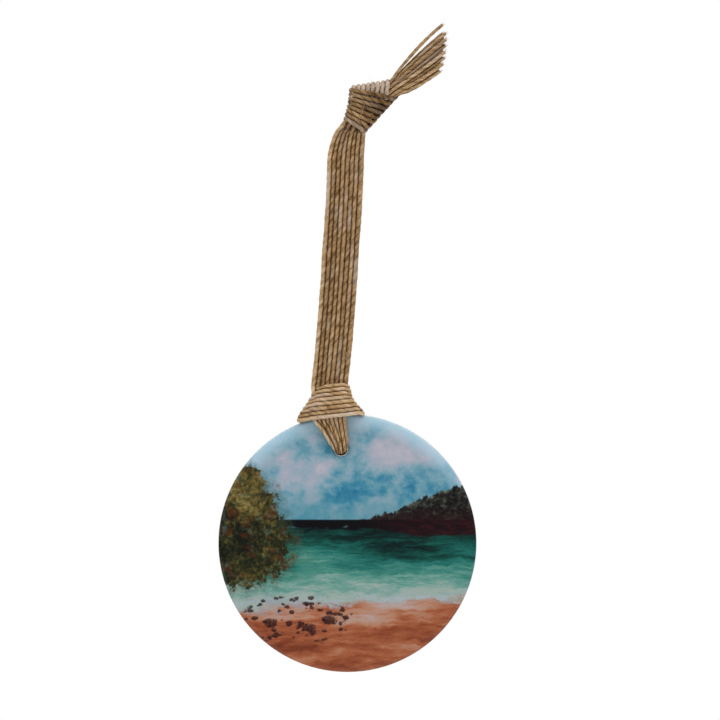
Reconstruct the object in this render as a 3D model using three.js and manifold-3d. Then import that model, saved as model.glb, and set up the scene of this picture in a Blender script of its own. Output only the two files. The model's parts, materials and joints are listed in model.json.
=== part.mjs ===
// A flat round ceramic ornament that hangs on a ribbon of eight jute strands.
// The ribbon is folded in two: its bight is hitched round the rim through a small hole, and its
// two ends are tied in one overhand knot, with the cut ends fanned out beyond it.
// Millimetres, +Z up, face towards -Y. Places are first given from the disc's centre, and the
// whole is then shifted so that the inside top of the hanging loop is the origin.

import * as THREE from 'three';
import { mergeVertices } from 'three/addons/utils/BufferGeometryUtils.js';
import Module from 'manifold-3d';

const wasm = await Module();
wasm.setup();

// ---------- driving dimensions ----------

const DISC = { diameter: 76, thickness: 3.2, edgeRadius: 1.2, segments: 72 };
const HOLE = { x: -1.9, z: 27.7, diameter: 4, segments: 24 };
const PRINT = { thickness: 0.1, gap: 0.02, holeMargin: 0.15 };

const STRANDS = 8;
const PITCH = 1.33; // one strand's width in the flat ribbon
const STRAND = 1.0; // diameter of a strand's core, which leaves a gap to its neighbour
const LAYER = 0.72; // from the ribbon's middle plane to the middle of its front or rear layer
const SIDES = 8;

// The two legs run straight from the hitch to the knot, leaning to the right.
const LEG_FOOT = new THREE.Vector3(-5.25, 0, 46.9);
const LEG_TOP = new THREE.Vector3(-0.5, 0, 115.8);
const LEG_LENGTH = LEG_FOOT.distanceTo(LEG_TOP);
const LEG_BOW = 0.6; // how far the middle of the legs bows to the right

// Stations along the legs, measured from the top of the hitch.
const SWING_AT = 1.7;
const TWIST_AT = 9;
const LOOP_FOOT_AT = 18.6;
const LOOP_TOP_AT = 66.6;
const LOOP_MIDDLE_AT = (LOOP_FOOT_AT + LOOP_TOP_AT) / 2;

// Half of the clearance that each flexing place is left, along the legs.
const SWING_GAP = 1.25;
const TWIST_GAP = 0.3;
const LOOP_GAP = 0.95;
const MIDDLE_GAP = 0.2;

const HITCH = {
  topZ: 45.9, // the top strand, at the middle of the band
  bottomZ: 37.4,
  rise: 0.11, // how much the band climbs to the right, per mm
  leftTop: -10.0,
  leftBottom: -14.2,
  rightTop: -0.1,
  rightBottom: 4.6,
  strand: 0.9,
  overLegs: 1.75, // from the middle of the legs to the middle of the band's strands
  rearDepth: 2.75, // the middle of the band's strands behind the disc
};

// The strands that lie over the face and behind the disc, gathered towards the hole.
const FAN = { topZ: 36.8, halfThickness: 1.0, rearClearance: 0.45 };
const BUNDLE = { radius: 1.5, front: -2.8, rear: 3.5, segments: 16 };

const KNOT = { halfDepth: 3.0, slotHalfDepth: 1.75, coreHalfDepth: 1.4 };
const TAIL_DEPTH = 0.8;

// ---------- materials ----------

const material = (color, roughness, metalness = 0) =>
  new THREE.MeshStandardMaterial({ color, roughness, metalness });

const glaze = () => material(0xf4f4f0, 0.12);
const print = () => material(0x3f8f8a, 0.15);
const jute = () => material(0xa98a5c, 0.9);

// ---------- shape helpers ----------

const point = (x, y, z) => new THREE.Vector3(x, y, z);

function addPiece(group, name, geometry, finish) {
  const mesh = new THREE.Mesh(geometry, finish);
  mesh.name = name;
  group.add(mesh);
}

function toSolid(geometry) {
  const bare = geometry.clone();
  bare.deleteAttribute('normal');
  bare.deleteAttribute('uv');
  const merged = mergeVertices(bare, 1e-5);
  return new wasm.Manifold(new wasm.Mesh({
    numProp: 3,
    vertProperties: new Float32Array(merged.attributes.position.array),
    triVerts: new Uint32Array(merged.index.array),
  }));
}

function toGeometry(solid) {
  const mesh = solid.getMesh();
  const geometry = new THREE.BufferGeometry();
  geometry.setAttribute('position', new THREE.BufferAttribute(mesh.vertProperties, 3));
  geometry.setIndex(new THREE.BufferAttribute(mesh.triVerts, 1));
  return geometry;
}

// A round cord along a smooth curve through the points.
function cord(points, diameter, steps) {
  const ring = [];
  for (let k = 0; k < SIDES; k += 1) {
    const angle = (2 * Math.PI * k) / SIDES;
    ring.push(new THREE.Vector2(Math.cos(angle), Math.sin(angle)).multiplyScalar(diameter / 2));
  }
  const extrudePath = new THREE.CatmullRomCurve3(points, false, 'centripetal');
  return new THREE.ExtrudeGeometry(new THREE.Shape(ring), {
    extrudePath,
    steps,
    bevelEnabled: false,
  });
}

// The section of a flat ribbon: one rounded ridge for each strand, on both faces.
function ribbonSection(width, thickness) {
  const ridge = width / STRANDS;
  const crown = 0.3;
  const outline = [];
  for (const face of [1, -1]) {
    for (let strand = 0; strand < STRANDS; strand += 1) {
      for (let k = 0; k < 3; k += 1) {
        const along = strand + k / 3;
        const x = face * (width / 2 - along * ridge);
        const y = face * (thickness / 2 - crown + crown * Math.sin((Math.PI * k) / 3));
        outline.push(new THREE.Vector2(x, y));
      }
    }
  }
  return new THREE.Shape(outline);
}

// A flat outline in X and Z, given depth from y = front to y = rear.
function plate(outline, front, rear) {
  const shape = new THREE.Shape(outline.map(([x, z]) => new THREE.Vector2(x, z)));
  const geometry = new THREE.ExtrudeGeometry(shape, {
    depth: rear - front,
    bevelEnabled: false,
  });
  return geometry.rotateX(Math.PI / 2).translate(0, rear, 0);
}

const mix = THREE.MathUtils.lerp;
const smooth = THREE.MathUtils.smoothstep;

// ---------- the disc and its printed face ----------

function discBlank() {
  const { diameter, thickness, edgeRadius, segments } = DISC;
  const halfThickness = thickness / 2;
  const flatRadius = diameter / 2 - edgeRadius;
  const profile = [new THREE.Vector2(0, -halfThickness)];
  for (const [middle, start] of [[edgeRadius - halfThickness, -90], [halfThickness - edgeRadius, 0]]) {
    for (let turn = 0; turn <= 90; turn += 30) {
      const angle = THREE.MathUtils.degToRad(start + turn);
      profile.push(new THREE.Vector2(
        flatRadius + edgeRadius * Math.cos(angle),
        middle + edgeRadius * Math.sin(angle),
      ));
    }
  }
  profile.push(new THREE.Vector2(0, halfThickness));
  return new THREE.LatheGeometry(profile, segments);
}

function drill(blank, diameter) {
  const drillLength = 4 * DISC.thickness;
  const bit = new THREE.CylinderGeometry(diameter / 2, diameter / 2, drillLength, HOLE.segments);
  bit.translate(HOLE.x, 0, HOLE.z);
  return toGeometry(toSolid(blank).subtract(toSolid(bit)));
}

function printedFace() {
  const radius = DISC.diameter / 2 - DISC.edgeRadius;
  const face = new THREE.CylinderGeometry(radius, radius, PRINT.thickness, DISC.segments);
  face.translate(0, -DISC.thickness / 2 - PRINT.gap - PRINT.thickness / 2, 0);
  return drill(face, HOLE.diameter + 2 * PRINT.holeMargin);
}

function addDisc(ornament) {
  addPiece(ornament, 'ceramic_disc', drill(discBlank(), HOLE.diameter), glaze());
  addPiece(ornament, 'printed_face', printedFace(), print());
}

// ---------- the ribbon's legs, from the hitch to the knot ----------

// How far strand number i lies from the ribbon's middle.
const across = (i) => (i - (STRANDS - 1) / 2) * PITCH;

// The middle of the legs bows out from the straight line between their ends.
const bow = (station) => 4 * LEG_BOW * (station / LEG_LENGTH) * (1 - station / LEG_LENGTH);

function legStrand(i, depth, from, to) {
  const bends = 4;
  const points = [];
  for (let k = 0; k <= bends; k += 1) {
    const station = mix(from, to, k / bends);
    points.push(point(bow(station) + across(i), depth, station));
  }
  return cord(points, STRAND, bends);
}

// Both layers of the ribbon, pressed together, over a straight stretch of the legs.
function pressedLegs(from, to) {
  const thickness = 2 * LAYER + STRAND;
  const slab = new THREE.ExtrudeGeometry(ribbonSection(STRANDS * PITCH, thickness), {
    depth: to - from,
    bevelEnabled: false,
  });
  return slab.translate(bow((from + to) / 2), 0, from);
}

function addLegs(ornament) {
  const legs = new THREE.Group();
  legs.position.copy(LEG_FOOT);
  legs.rotation.y = Math.atan2(LEG_TOP.x - LEG_FOOT.x, LEG_TOP.z - LEG_FOOT.z);
  ornament.add(legs);

  const ankle = pressedLegs(SWING_AT + SWING_GAP, TWIST_AT - TWIST_GAP);
  addPiece(legs, 'leg_ankle', ankle, jute());
  const foot = pressedLegs(TWIST_AT + TWIST_GAP, LOOP_FOOT_AT - LOOP_GAP);
  addPiece(legs, 'leg_foot', foot, jute());

  const halves = [
    ['lower', LOOP_FOOT_AT + LOOP_GAP, LOOP_MIDDLE_AT - MIDDLE_GAP],
    ['upper', LOOP_MIDDLE_AT + MIDDLE_GAP, LOOP_TOP_AT - LOOP_GAP],
  ];
  for (const [layer, depth] of [['front', -LAYER], ['rear', LAYER]]) {
    for (const [half, from, to] of halves) {
      for (let i = 0; i < STRANDS; i += 1) {
        addPiece(legs, `${layer}_${half}_strand_${i + 1}`, legStrand(i, depth, from, to), jute());
      }
    }
  }
}

// ---------- the hitch round the rim ----------

const LEGS_IN_HITCH_X = -5.35;
const OVER_FACE = -2.95; // depth of the pressed legs where they lie on the disc's face

// The legs slant forward inside the hitch, from over the rim to in front of the face.
const legDepth = (z) => OVER_FACE * (1 - smooth(z, 38.6, 47.2));

function legsInHitch() {
  const steps = 7;
  const points = [];
  for (let k = 0; k <= steps; k += 1) {
    const z = mix(LEG_FOOT.z + SWING_AT - SWING_GAP, FAN.topZ + 0.3, k / steps);
    points.push(point(LEGS_IN_HITCH_X, legDepth(z), z));
  }
  const section = ribbonSection(STRANDS * PITCH - 0.4, 2 * FAN.halfThickness);
  return new THREE.ExtrudeGeometry(section, {
    extrudePath: new THREE.CatmullRomCurve3(points, false, 'centripetal'),
    steps: 2 * steps,
    bevelEnabled: false,
  });
}

// One strand of the band: from behind, round the left edge, across the front, round the right
// edge and back behind.
function bandStrand(i) {
  const down = i / (STRANDS - 1);
  const middleX = LEGS_IN_HITCH_X;
  const middleZ = mix(HITCH.topZ, HITCH.bottomZ, down);
  const left = mix(HITCH.leftTop, HITCH.leftBottom, down) - STRAND;
  const right = mix(HITCH.rightTop, HITCH.rightBottom, down) + STRAND;
  const front = legDepth(middleZ - STRAND) - HITCH.overLegs;
  const rear = HITCH.rearDepth;
  const turn = (rear - front) / 2;
  const middleY = (rear + front) / 2;
  const height = (x) => middleZ + HITCH.rise * (x - middleX);
  const leftZ = height(left) + 0.2;
  const rightZ = height(right) + 0.35 * down;
  const shoulder = 0.2 * turn; // the rounding of the turn over an edge
  const reach = 0.78 * turn;
  return cord([
    point(left + turn, rear, leftZ - 0.1),
    point(left + shoulder, middleY + reach, leftZ),
    point(left, middleY, leftZ),
    point(left + shoulder, middleY - reach, leftZ),
    point(left + turn, front, height(left + turn)),
    point(middleX, front, middleZ),
    point(right - turn, front, height(right - turn)),
    point(right - shoulder, middleY - reach, rightZ),
    point(right, middleY, rightZ),
    point(right - shoulder, middleY + reach, rightZ),
    point(right - turn, rear, rightZ - 0.1),
  ], HITCH.strand, 26);
}

// The strands that come down over the face, gather, and pass through the hole.
function frontFan() {
  const fan = plate([
    [-10.3, FAN.topZ - 0.1],
    [-3.6, 28.3],
    [-3.0, 27.3],
    [-0.6, 27.1],
    [0.1, 28.4],
    [-0.6, FAN.topZ - 0.1],
  ], OVER_FACE - FAN.halfThickness, OVER_FACE + FAN.halfThickness);
  const { radius, front, rear, segments } = BUNDLE;
  const throughHole = new THREE.CylinderGeometry(radius, radius, rear - front, segments);
  throughHole.translate(HOLE.x, (front + rear) / 2, HOLE.z + 0.2);
  return toGeometry(toSolid(fan).add(toSolid(throughHole)));
}

function addHitch(ornament) {
  addPiece(ornament, 'legs_in_hitch', legsInHitch(), jute());
  for (let i = 0; i < STRANDS; i += 1) {
    addPiece(ornament, `hitch_strand_${i + 1}`, bandStrand(i), jute());
  }
  addPiece(ornament, 'front_fan', frontFan(), jute());

  const rearFrom = DISC.thickness / 2 + FAN.rearClearance;
  const rearTo = HITCH.rearDepth + STRAND / 2;
  const leftFan = plate([[-7.9, 41.6], [-9.6, 35.6], [-4.2, 28.2], [-2.5, 30.1]], rearFrom, rearTo);
  const rightFan = plate([[-1.2, 30.1], [0.4, 28.2], [0.9, 37.0], [-2.6, 43.4]], rearFrom, rearTo);
  addPiece(ornament, 'rear_fan_left', leftFan, jute());
  addPiece(ornament, 'rear_fan_right', rightFan, jute());
}

// ---------- the overhand knot and the cut ends ----------

// The wrapped band: two flat faces joined by a fold down the left side.
function knotWrap() {
  const { halfDepth, slotHalfDepth } = KNOT;
  const block = plate([
    [0.65, 134.05],
    [0.0, 129.2],
    [-1.1, 126.0],
    [-0.85, 123.7],
    [2.9, 122.6],
    [5.3, 120.9],
    [9.5, 125.1],
    [14.7, 131.2],
  ], -halfDepth, halfDepth);
  const slot = plate([[1.3, 136], [1.3, 118], [20, 118], [20, 136]], -slotHalfDepth, slotHalfDepth);
  return toGeometry(toSolid(block).subtract(toSolid(slot)));
}

function knotCore() {
  return plate([
    [1.7, 133.3],
    [1.7, 123.9],
    [5.0, 121.9],
    [13.6, 131.0],
  ], -KNOT.coreHalfDepth, KNOT.coreHalfDepth);
}

function knotThroat() {
  return plate([
    [-5.55, 115.3],
    [4.75, 114.6],
    [5.1, 120.2],
    [-0.9, 122.9],
    [-3.6, 120.0],
  ], -LAYER - STRAND / 2, LAYER + STRAND / 2);
}

function knotFold() {
  return plate([[1.9, 134.3], [11.3, 132.3], [11.7, 136.5], [2.3, 135.0]], -1.7, 2.3);
}

// Both cut ends of one strand, side by side as one cord.
function tail(i) {
  const tips = [
    [27.9, 152.4],
    [28.8, 150.4],
    [28.8, 148.4],
    [28.7, 146.6],
    [28.7, 144.6],
    [28.3, 142.8],
    [28.0, 140.8],
    [27.4, 138.9],
  ];
  const down = i / (STRANDS - 1);
  const depth = i % 2 === 0 ? -TAIL_DEPTH : TAIL_DEPTH;
  const tip = new THREE.Vector2(...tips[i]);
  const start = new THREE.Vector2(mix(12.3, 15.2, down), mix(136.0, 132.1, down));
  const sag = mix(0.9, -1.3, down);
  const points = [0, 0.3, 0.65, 1].map((t) => {
    const place = start.clone().lerp(tip, t);
    return point(place.x, mix(depth, 1.5 * depth, t), place.y + 4 * sag * t * (1 - t));
  });
  return cord(points, STRAND, 6);
}

function addKnot(ornament) {
  addPiece(ornament, 'knot_throat', knotThroat(), jute());
  addPiece(ornament, 'knot_wrap', knotWrap(), jute());
  addPiece(ornament, 'knot_core', knotCore(), jute());
  addPiece(ornament, 'knot_fold', knotFold(), jute());
  for (let i = 0; i < STRANDS; i += 1) {
    addPiece(ornament, `tail_strand_${i + 1}`, tail(i), jute());
  }
}

// ---------- the whole ornament ----------

function build() {
  const ornament = new THREE.Group();
  addDisc(ornament);
  addLegs(ornament);
  addHitch(ornament);
  addKnot(ornament);
  const loopTop = LEG_FOOT.clone().lerp(LEG_TOP, LOOP_TOP_AT / LEG_LENGTH);
  ornament.position.copy(loopTop).negate();
  return ornament;
}

export default build();
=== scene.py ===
"""A flat round ceramic ornament that hangs on a ribbon of eight jute strands.

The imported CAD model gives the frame: the disc, the joints and the stations along the ribbon's legs.
This script makes what is seen: eight twisted strands along their real routes through the knot, the
legs, the hitch and the hole, and the glazed disc with its printed seaside picture. Shapes are worked
out in millimetres from the disc's centre, X to the right, Y away from the viewer and Z up, and
place() puts them in the row frame in metres.
"""
import json
import math

import bpy
import numpy as np
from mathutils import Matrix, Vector, kdtree


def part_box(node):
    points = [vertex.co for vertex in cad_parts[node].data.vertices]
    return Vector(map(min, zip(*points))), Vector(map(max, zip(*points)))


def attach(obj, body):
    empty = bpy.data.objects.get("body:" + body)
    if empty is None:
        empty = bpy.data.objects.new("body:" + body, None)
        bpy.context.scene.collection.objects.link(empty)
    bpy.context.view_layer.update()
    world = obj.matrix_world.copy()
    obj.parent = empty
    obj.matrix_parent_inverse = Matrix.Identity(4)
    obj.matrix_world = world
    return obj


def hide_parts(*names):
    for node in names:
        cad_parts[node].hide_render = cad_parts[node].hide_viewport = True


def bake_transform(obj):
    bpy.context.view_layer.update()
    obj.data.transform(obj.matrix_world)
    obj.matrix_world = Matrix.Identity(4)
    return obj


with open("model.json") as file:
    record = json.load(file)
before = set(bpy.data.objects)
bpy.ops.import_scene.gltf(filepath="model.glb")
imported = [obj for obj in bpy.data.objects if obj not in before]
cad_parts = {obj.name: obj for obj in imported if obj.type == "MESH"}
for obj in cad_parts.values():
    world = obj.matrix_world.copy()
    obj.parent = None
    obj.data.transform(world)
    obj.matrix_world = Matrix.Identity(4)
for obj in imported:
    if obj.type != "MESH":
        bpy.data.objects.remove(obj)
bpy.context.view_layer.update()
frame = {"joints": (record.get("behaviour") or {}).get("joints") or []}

MM = 0.001
STRANDS = 8


# ---------- places taken from the frame ----------

def joint(name):
    return next(j for j in frame["joints"] if j["name"] == name)


def joint_at(name):
    return Vector(joint(name)["pos_m"])


DISC_LOW, DISC_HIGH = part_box("ceramic_disc")
CENTRE = (DISC_LOW + DISC_HIGH) / 2
DISC_RADIUS = (DISC_HIGH.x - DISC_LOW.x) / 2 / MM
HALF_THICKNESS = (DISC_HIGH.y - DISC_LOW.y) / 2 / MM

# The hole's middle, a little left of the disc's own and near its top.
HOLE = np.array([-1.9, 0.0, 27.7])
HOLE_RADIUS = 1.92


def place(points):
    """Points in mm from the disc's centre, in the row frame in metres."""
    return np.asarray(points, float) * MM + np.array(CENTRE)


def local(point):
    """A point of the row frame, in mm from the disc's centre."""
    return (np.array(point) - np.array(CENTRE)) / MM


# The legs run along one line, from the swing joint over the hitch to the top of the loop.
LOOP_TOP = local(joint_at("loop_open"))
SWING = local(joint_at("disc_swing"))
UP = (LOOP_TOP - SWING) / np.linalg.norm(LOOP_TOP - SWING)
ACROSS = np.array([UP[2], 0.0, -UP[0]])
SWING_STATION = 1.7
LEG_FOOT = SWING - SWING_STATION * UP


def station_of(name):
    return float((local(joint_at(name)) - LEG_FOOT) @ UP)


FOOT_AT = station_of("foot_fold")


# ---------- camera ----------

FIELD = 212.0  # width of the view at the ornament, mm
VIEW_MIDDLE = (3.7, 53.9)
CAMERA_DISTANCE = 2.0


def add_object(name, data):
    made = bpy.data.objects.new(name, data)
    bpy.context.collection.objects.link(made)
    return made


def add_camera():
    camera = bpy.data.cameras.new("camera")
    camera.sensor_width = 36
    camera.lens = camera.sensor_width * CAMERA_DISTANCE / (FIELD * MM)
    camera.clip_end = 100
    holder = add_object("camera", camera)
    middle = place([VIEW_MIDDLE[0], 0, VIEW_MIDDLE[1]])
    holder.location = (middle[0], middle[1] - CAMERA_DISTANCE, middle[2])
    holder.rotation_euler = (math.pi / 2, 0, 0)
    bpy.context.scene.camera = holder


add_camera()


# ---------- material helpers ----------

def linear(red, green, blue):
    """A colour given as 0 to 255 values of a screen, as the linear colour that shaders use."""
    def one(value):
        value /= 255
        return value / 12.92 if value <= 0.04045 else ((value + 0.055) / 1.055) ** 2.4
    return (one(red), one(green), one(blue), 1.0)


class Shader:
    """Builds a material's nodes from short expressions. Values are sockets or plain numbers."""

    def __init__(self, name):
        self.material = bpy.data.materials.new(name)
        self.material.use_nodes = True
        self.tree = self.material.node_tree
        self.surface = self.tree.nodes["Principled BSDF"]

    def node(self, kind, **settings):
        made = self.tree.nodes.new(kind)
        for name, value in settings.items():
            setattr(made, name, value)
        return made

    def put(self, socket, value):
        if isinstance(value, bpy.types.NodeSocket):
            self.tree.links.new(value, socket)
        else:
            socket.default_value = value

    def math(self, operation, *values):
        made = self.node("ShaderNodeMath", operation=operation)
        for socket, value in zip(made.inputs, values):
            self.put(socket, value)
        return made.outputs[0]

    def add(self, a, b):
        return self.math("ADD", a, b)

    def sub(self, a, b):
        return self.math("SUBTRACT", a, b)

    def mul(self, a, b):
        return self.math("MULTIPLY", a, b)

    def either(self, a, b):
        return self.math("MAXIMUM", a, b)

    def inverse(self, a):
        return self.math("SUBTRACT", 1.0, a)

    def rise(self, value, low, high):
        """0 where value is at low, 1 where it is at high, with a smooth step between."""
        made = self.node("ShaderNodeMapRange", interpolation_type="SMOOTHSTEP")
        for socket, given in zip(made.inputs, (value, low, high)):
            self.put(socket, given)
        return made.outputs[0]

    def vector(self, x, y, z):
        made = self.node("ShaderNodeCombineXYZ")
        for socket, value in zip(made.inputs, (x, y, z)):
            self.put(socket, value)
        return made.outputs[0]

    def parts(self, vector):
        made = self.node("ShaderNodeSeparateXYZ")
        self.put(made.inputs[0], vector)
        return made.outputs

    def noise(self, vector, scale=1.0, detail=3.0, roughness=0.55):
        made = self.node("ShaderNodeTexNoise", noise_dimensions="3D")
        self.put(made.inputs["Vector"], vector)
        self.put(made.inputs["Scale"], scale)
        self.put(made.inputs["Detail"], detail)
        self.put(made.inputs["Roughness"], roughness)
        return made.outputs[0]

    def cells(self, vector):
        """How far each point is from the middle of its random cell, and where that middle is."""
        made = self.node("ShaderNodeTexVoronoi", feature="F1")
        self.put(made.inputs["Vector"], vector)
        self.put(made.inputs["Scale"], 1.0)
        return made.outputs["Distance"], made.outputs["Position"]

    def mix(self, factor, a, b, blend="MIX"):
        made = self.node("ShaderNodeMix", data_type="RGBA", blend_type=blend)
        self.put(made.inputs[0], factor)
        self.put(made.inputs[6], a)
        self.put(made.inputs[7], b)
        return made.outputs[2]

    def ramp(self, factor, stops):
        """A colour for each value of factor, from (position, colour) stops."""
        made = self.node("ShaderNodeValToRGB")
        elements = made.color_ramp.elements
        while len(elements) < len(stops):
            elements.new(0.5)
        for element, (position, colour) in zip(elements, stops):
            element.position = position
            element.color = colour
        self.put(made.inputs[0], factor)
        return made.outputs[0]

    def bump(self, height, distance, strength=1.0):
        made = self.node("ShaderNodeBump")
        self.put(made.inputs["Strength"], strength)
        self.put(made.inputs["Distance"], distance)
        self.put(made.inputs["Height"], height)
        return made.outputs[0]

    def attribute(self, name, output="Vector"):
        made = self.node("ShaderNodeAttribute", attribute_name=name)
        return made.outputs[output]


# ---------- jute ----------

JUTE_STOPS = (
    (0.0, linear(48, 27, 9)),
    (0.26, linear(112, 80, 42)),
    (0.5, linear(172, 137, 94)),
    (0.72, linear(212, 183, 144)),
    (1.0, linear(242, 228, 204)),
)
# Grey of some stretches of jute; on the knot's upper fold the same colour is a painted highlight.
JUTE_GREY_AND_FOLD_LIGHT = linear(206, 190, 178)
JUTE_PAINTED_SHADE = linear(46, 25, 9)  # painted shade in the grooves between strands and inside the hole


def jute_material():
    """Dry plant fibre: streaks along the plies, flecks, patches and grey stretches, with painted shade
    where strands meet, in the ply grooves and inside the hole, and a painted highlight on the knot's upper
    fold.
    """
    s = Shader("jute")
    x, y, along = s.parts(s.attribute("fibre"))
    tone = s.attribute("tone", "Fac")
    open_air = s.attribute("open_air", "Fac")
    fold_highlight = s.attribute("fold_highlight", "Fac")
    pale = s.attribute("pale", "Fac")
    seat = s.mul(tone, 97.0)  # each strand has its own place in the noise

    def grain(across, lengthwise, detail, roughness=0.55):
        at = s.vector(s.mul(x, across), s.mul(y, across), s.add(s.mul(along, lengthwise), seat))
        return s.noise(at, 1.0, detail, roughness)

    streaks, flecks, patches = grain(6.5, 0.9, 4, 0.75), grain(4.6, 2.6, 3, 0.7), grain(0.8, 0.16, 2)
    shade = s.add(s.mul(streaks, 0.8), s.mul(flecks, 1.0))
    shade = s.add(shade, s.mul(patches, 0.6))
    shade = s.add(s.add(shade, pale), s.mul(s.sub(tone, 0.5), 0.16))
    # painted shade: darker where the strand lies against another, in the grooves between its plies and
    # inside the hole
    shade = s.add(shade, s.mul(s.sub(open_air, 1.0), 0.55))
    colour = s.ramp(s.sub(shade, 0.67), JUTE_STOPS)
    grey = s.rise(s.noise(s.vector(seat, 0.0, s.mul(along, 0.07)), 1.0, 1), 0.5, 0.72)
    # Random grey stretches are the jute's own colour; on the knot's upper fold the same pale grey is a
    # painted highlight.
    grey_and_fold_light = s.mul(s.either(s.mul(grey, 0.75), fold_highlight), s.mul(shade, 0.42))
    colour = s.mix(grey_and_fold_light, colour, JUTE_GREY_AND_FOLD_LIGHT)
    # painted shade: deep brown in patches where strands press together and inside the hole
    painted_contact_shade = s.mul(s.rise(open_air, 0.75, 0.1), s.sub(s.mul(patches, 1.7), 0.05))
    colour = s.mix(painted_contact_shade, colour, JUTE_PAINTED_SHADE)
    s.put(s.surface.inputs["Base Color"], colour)
    s.put(s.surface.inputs["Roughness"], s.add(0.74, s.mul(streaks, 0.2)))
    s.surface.inputs["Specular IOR Level"].default_value = 0.2
    s.surface.inputs["Sheen Weight"].default_value = 0.06
    s.surface.inputs["Sheen Roughness"].default_value = 0.5
    s.put(s.surface.inputs["Normal"], s.bump(s.add(streaks, s.mul(flecks, 0.7)), 0.14 * MM, 0.9))
    return s.material


JUTE = jute_material()


def add_piece(name, mesh, material):
    mesh.shade_smooth()
    mesh.materials.append(material)
    return add_object(name, mesh)


# ---------- strands ----------

SPACING = 0.34  # between the rings of a strand, mm
SIDES = 14
PLY_PITCH = 4.7  # length over which the two plies turn once
LOBE_OFFSET, LOBE_RADIUS = 0.12, 0.88  # of a ply's circle, as shares of the strand's radius
RANDOM = np.random.default_rng(20)
TANGLE = []  # every whole strand, in the order made


def smooth_step(t):
    t = np.clip(t, 0, 1)
    return t * t * (3 - 2 * t)


def curve_through(points, dense=14):
    """dense points for each stretch of a centripetal Catmull-Rom curve through the given ones, which
    may hold a radius as a fourth value."""
    p = np.asarray(points, float)
    p = np.vstack([2 * p[0] - p[1], p, 2 * p[-1] - p[-2]])
    knots = np.concatenate([[0], np.cumsum(np.linalg.norm(np.diff(p[:, :3], axis=0), axis=1) ** 0.5)])
    out = []
    for k in range(1, len(p) - 2):
        t0, t1, t2, t3 = knots[k - 1:k + 3]
        t = np.linspace(t1, t2, dense, endpoint=False)[:, None]
        a1 = (t1 - t) / (t1 - t0) * p[k - 1] + (t - t0) / (t1 - t0) * p[k]
        a2 = (t2 - t) / (t2 - t1) * p[k] + (t - t1) / (t2 - t1) * p[k + 1]
        a3 = (t3 - t) / (t3 - t2) * p[k + 1] + (t - t2) / (t3 - t2) * p[k + 2]
        b1 = (t2 - t) / (t2 - t0) * a1 + (t - t0) / (t2 - t0) * a2
        b2 = (t3 - t) / (t3 - t1) * a2 + (t - t1) / (t3 - t1) * a3
        out.append((t2 - t) / (t2 - t1) * b1 + (t - t1) / (t2 - t1) * b2)
    out.append(p[-2][None, :])
    return np.vstack(out)


def evenly(line):
    """The line at even steps, and how far along each step is."""
    run = np.concatenate([[0], np.cumsum(np.linalg.norm(np.diff(line[:, :3], axis=0), axis=1))])
    count = max(3, int(round(run[-1] / SPACING)) + 1)
    at = np.linspace(0, run[-1], count)
    return np.column_stack([np.interp(at, run, line[:, c]) for c in range(line.shape[1])]), at


def unit(vectors):
    return vectors / np.linalg.norm(vectors, axis=-1, keepdims=True)


def carried_sides(line):
    """The tangent and one side direction at each point, turned as little as possible on the way."""
    tangent = unit(np.gradient(line, axis=0))
    sides = [unit(np.cross(tangent[0], (0.31, 0.9, 0.3)))]
    for t in tangent[1:]:
        side = sides[-1] - (sides[-1] @ t) * t
        sides.append(side / np.linalg.norm(side))
    return tangent, np.array(sides)


def slow_noise(count, wave):
    """A smooth random line around 0 over count rings, with about one swing for each wave mm."""
    knots = max(4, int(count * SPACING / wave) + 4)
    values = RANDOM.normal(0, 1, knots)
    at = np.linspace(1, knots - 2, count)
    return np.interp(at, np.arange(knots), values) * 0.5 + 0.5 * np.interp(
        at + 0.37, np.arange(knots), values)


class Strand:
    """A twisted two-ply strand along a line, as rings of points that follow its plies."""

    def __init__(self, points, wander, tone):
        line, self.along = evenly(curve_through(points))
        count = len(line)
        self.tone = tone
        self.pale, self.fold_highlight = np.zeros(count), np.zeros(count)
        tangent, side = carried_sides(line[:, :3])
        other = np.cross(tangent, side)
        shift = [slow_noise(count, 6) * wander for _ in range(2)]
        centre = line[:, :3] + side * shift[0][:, None] + other * shift[1][:, None]
        size = line[:, 3] * (1 + 0.05 * slow_noise(count, 2.5))
        pitch = PLY_PITCH * RANDOM.uniform(0.92, 1.1)
        phase = RANDOM.uniform(0, 2 * np.pi) + 2 * np.pi * self.along / pitch
        angle = 2 * np.pi * np.arange(SIDES) / SIDES
        lobe = np.abs(np.cos(angle))
        rim = LOBE_OFFSET * lobe + np.sqrt(LOBE_RADIUS ** 2 - (LOBE_OFFSET * np.sin(angle)) ** 2)
        turned = phase[:, None] + angle[None, :]
        reach = size[:, None] * rim[None, :]
        self.rings = (
            centre[:, None, :]
            + side[:, None, :] * (np.cos(turned) * reach)[..., None]
            + other[:, None, :] * (np.sin(turned) * reach)[..., None]
        )
        # 0 in the groove between the plies and 1 on their crests; it deepens the painted shade in the
        # grooves.
        self.groove = np.broadcast_to((rim - rim.min()) / (rim.max() - rim.min()), (count, SIDES))
        self.fibre = np.stack(
            [
                np.broadcast_to(np.cos(angle) * rim * 0.66, (count, SIDES)),
                np.broadcast_to(np.sin(angle) * rim * 0.66, (count, SIDES)),
                np.broadcast_to(self.along[:, None], (count, SIDES)),
            ],
            axis=-1,
        )
        self.centre, self.tangent, self.size = centre, tangent, size
        TANGLE.append(self)

    def cut(self, first, last):
        """The rings from first to last, as a strand of its own."""
        part = object.__new__(Strand)
        part.tone = self.tone
        for name in ("rings", "open_air", "pale", "fold_highlight", "fibre", "centre", "tangent"):
            setattr(part, name, getattr(self, name)[first:last + 1])
        return part


NEAR = 2.1  # how far apart, in mm, two strands' middles may be and still shade each other


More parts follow.
